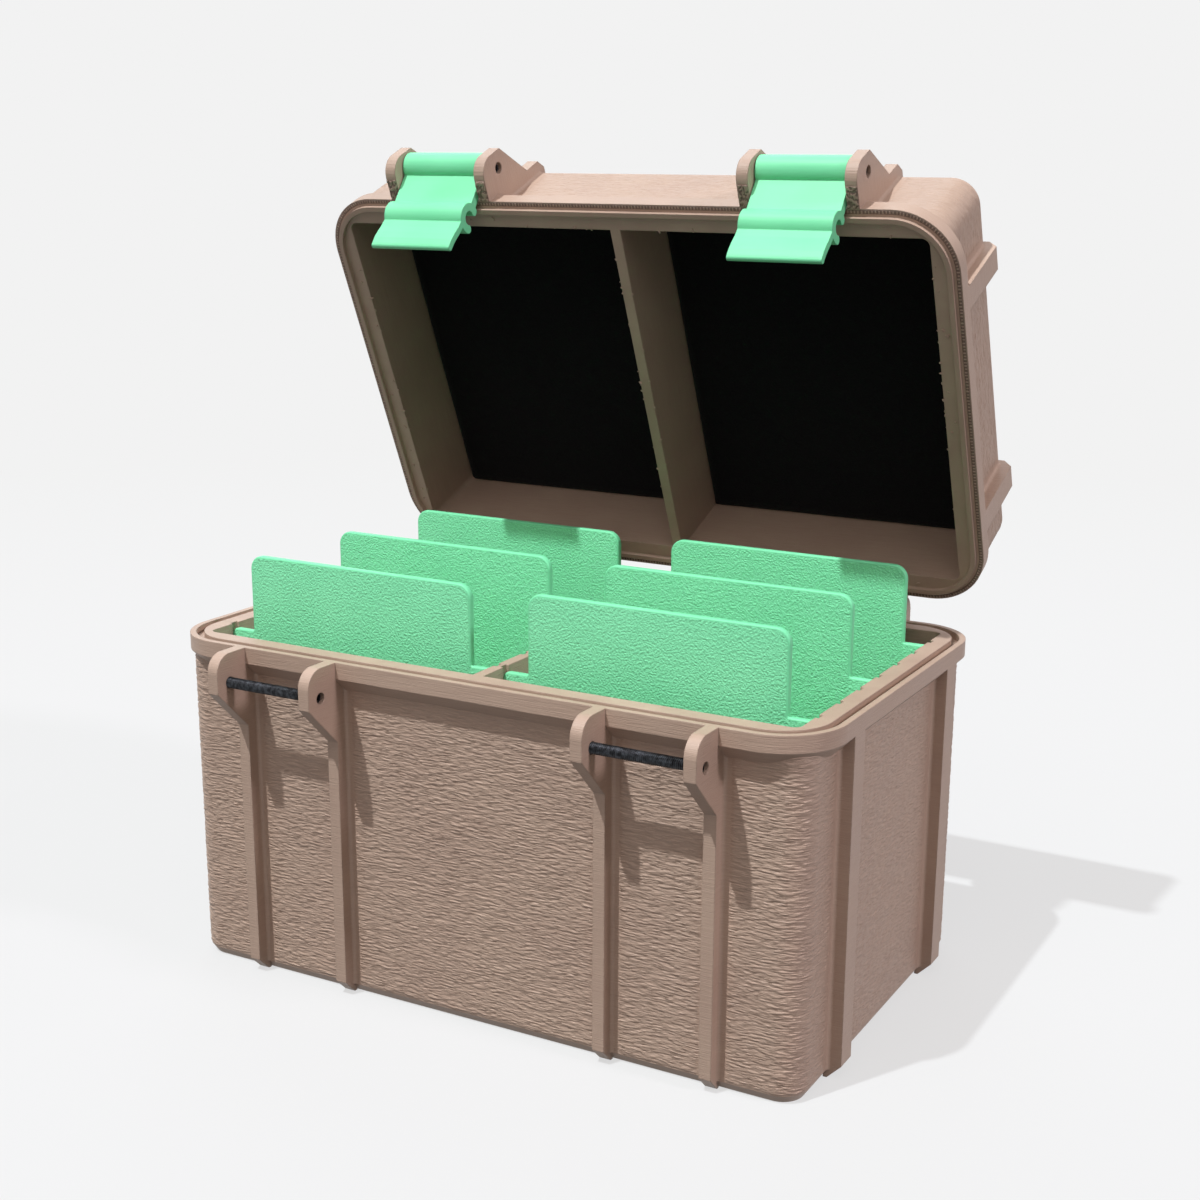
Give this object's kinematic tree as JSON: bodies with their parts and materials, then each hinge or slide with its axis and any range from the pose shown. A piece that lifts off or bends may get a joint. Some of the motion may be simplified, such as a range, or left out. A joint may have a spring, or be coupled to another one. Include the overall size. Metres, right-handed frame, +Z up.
{
  "type": "trading card storage box",
  "caption": "Ribbed plastic card box with two bays, slotted dividers, a hinged lid that stands open and draw latches that hook over screws.",
  "frame": {"origin": "middle of the lower shell's flat underside", "axes": "+X along the front to the right, -Y the front with the latches, +Z up"},
  "size_m": [0.19, 0.1582, 0.2198],
  "materials": {
    "shell": "matte",
    "latch": "satin",
    "divider": "fine pebbled",
    "liner": "matte foam",
    "screw": "black oxide"
  },
  "bodies": {
    "base": {"base_shell": "shell", "catch_screw_left": "screw", "catch_screw_right": "screw"},
    "hinge_screws": {"hinge_screw_left": "screw", "hinge_screw_right": "screw"},
    "lid": {"lid_shell": "shell", "lid_liner_left": "liner", "lid_liner_right": "liner"},
    "latch_pin_left": {"latch_pivot_screw_left": "screw"},
    "latch_left": {"latch_left": "latch"},
    "latch_pin_right": {"latch_pivot_screw_right": "screw"},
    "latch_right": {"latch_right": "latch"},
    "divider_left_front": {"divider_left_front": "divider"},
    "divider_left_middle": {"divider_left_middle": "divider"},
    "divider_left_rear": {"divider_left_rear": "divider"},
    "divider_right_front": {"divider_right_front": "divider"},
    "divider_right_middle": {"divider_right_middle": "divider"},
    "divider_right_rear": {"divider_right_rear": "divider"}
  },
  "joints": [
    {"name": "lid_closing", "type": "hinge", "parent": "base", "child": "hinge_screws", "pos_m": [0, 0.06445, 0.09285], "axis": [-1, 0, 0], "range_deg": [-66.8, 0]},
    {"name": "lid_opening", "type": "hinge", "parent": "hinge_screws", "child": "lid", "pos_m": [0, 0.06445, 0.09285], "axis": [-1, 0, 0], "range_deg": [0, 113.2]},
    {"name": "latch_hang_left", "type": "hinge", "parent": "lid", "child": "latch_pin_left", "pos_m": [-0.05405, 0.02116, 0.21454], "axis": [-1, 0, 0], "range_deg": [0, 31.8]},
    {"name": "latch_swing_left", "type": "hinge", "parent": "latch_pin_left", "child": "latch_left", "pos_m": [-0.05405, 0.02116, 0.21454], "axis": [-1, 0, 0], "range_deg": [0, 170]},
    {"name": "latch_hang_right", "type": "hinge", "parent": "lid", "child": "latch_pin_right", "pos_m": [0.05405, 0.02116, 0.21454], "axis": [-1, 0, 0], "range_deg": [0, 31.8]},
    {"name": "latch_swing_right", "type": "hinge", "parent": "latch_pin_right", "child": "latch_right", "pos_m": [0.05405, 0.02116, 0.21454], "axis": [-1, 0, 0], "range_deg": [0, 170]},
    {"name": "lift_left_front", "type": "slide", "parent": "base", "child": "divider_left_front", "axis": [0, 0, 1], "range_m": [0, 0.091]},
    {"name": "lift_left_middle", "type": "slide", "parent": "base", "child": "divider_left_middle", "axis": [0, 0, 1], "range_m": [0, 0.091]},
    {"name": "lift_left_rear", "type": "slide", "parent": "base", "child": "divider_left_rear", "axis": [0, 0, 1], "range_m": [0, 0.054]},
    {"name": "lift_right_front", "type": "slide", "parent": "base", "child": "divider_right_front", "axis": [0, 0, 1], "range_m": [0, 0.091]},
    {"name": "lift_right_middle", "type": "slide", "parent": "base", "child": "divider_right_middle", "axis": [0, 0, 1], "range_m": [0, 0.091]},
    {"name": "lift_right_rear", "type": "slide", "parent": "base", "child": "divider_right_rear", "axis": [0, 0, 1], "range_m": [0, 0.054]}
  ],
  "couplings": [
    {"joint": "latch_hang_left", "follows": "lid_closing", "ratio": -0.47605},
    {"joint": "latch_hang_right", "follows": "lid_closing", "ratio": -0.47605}
  ]
}
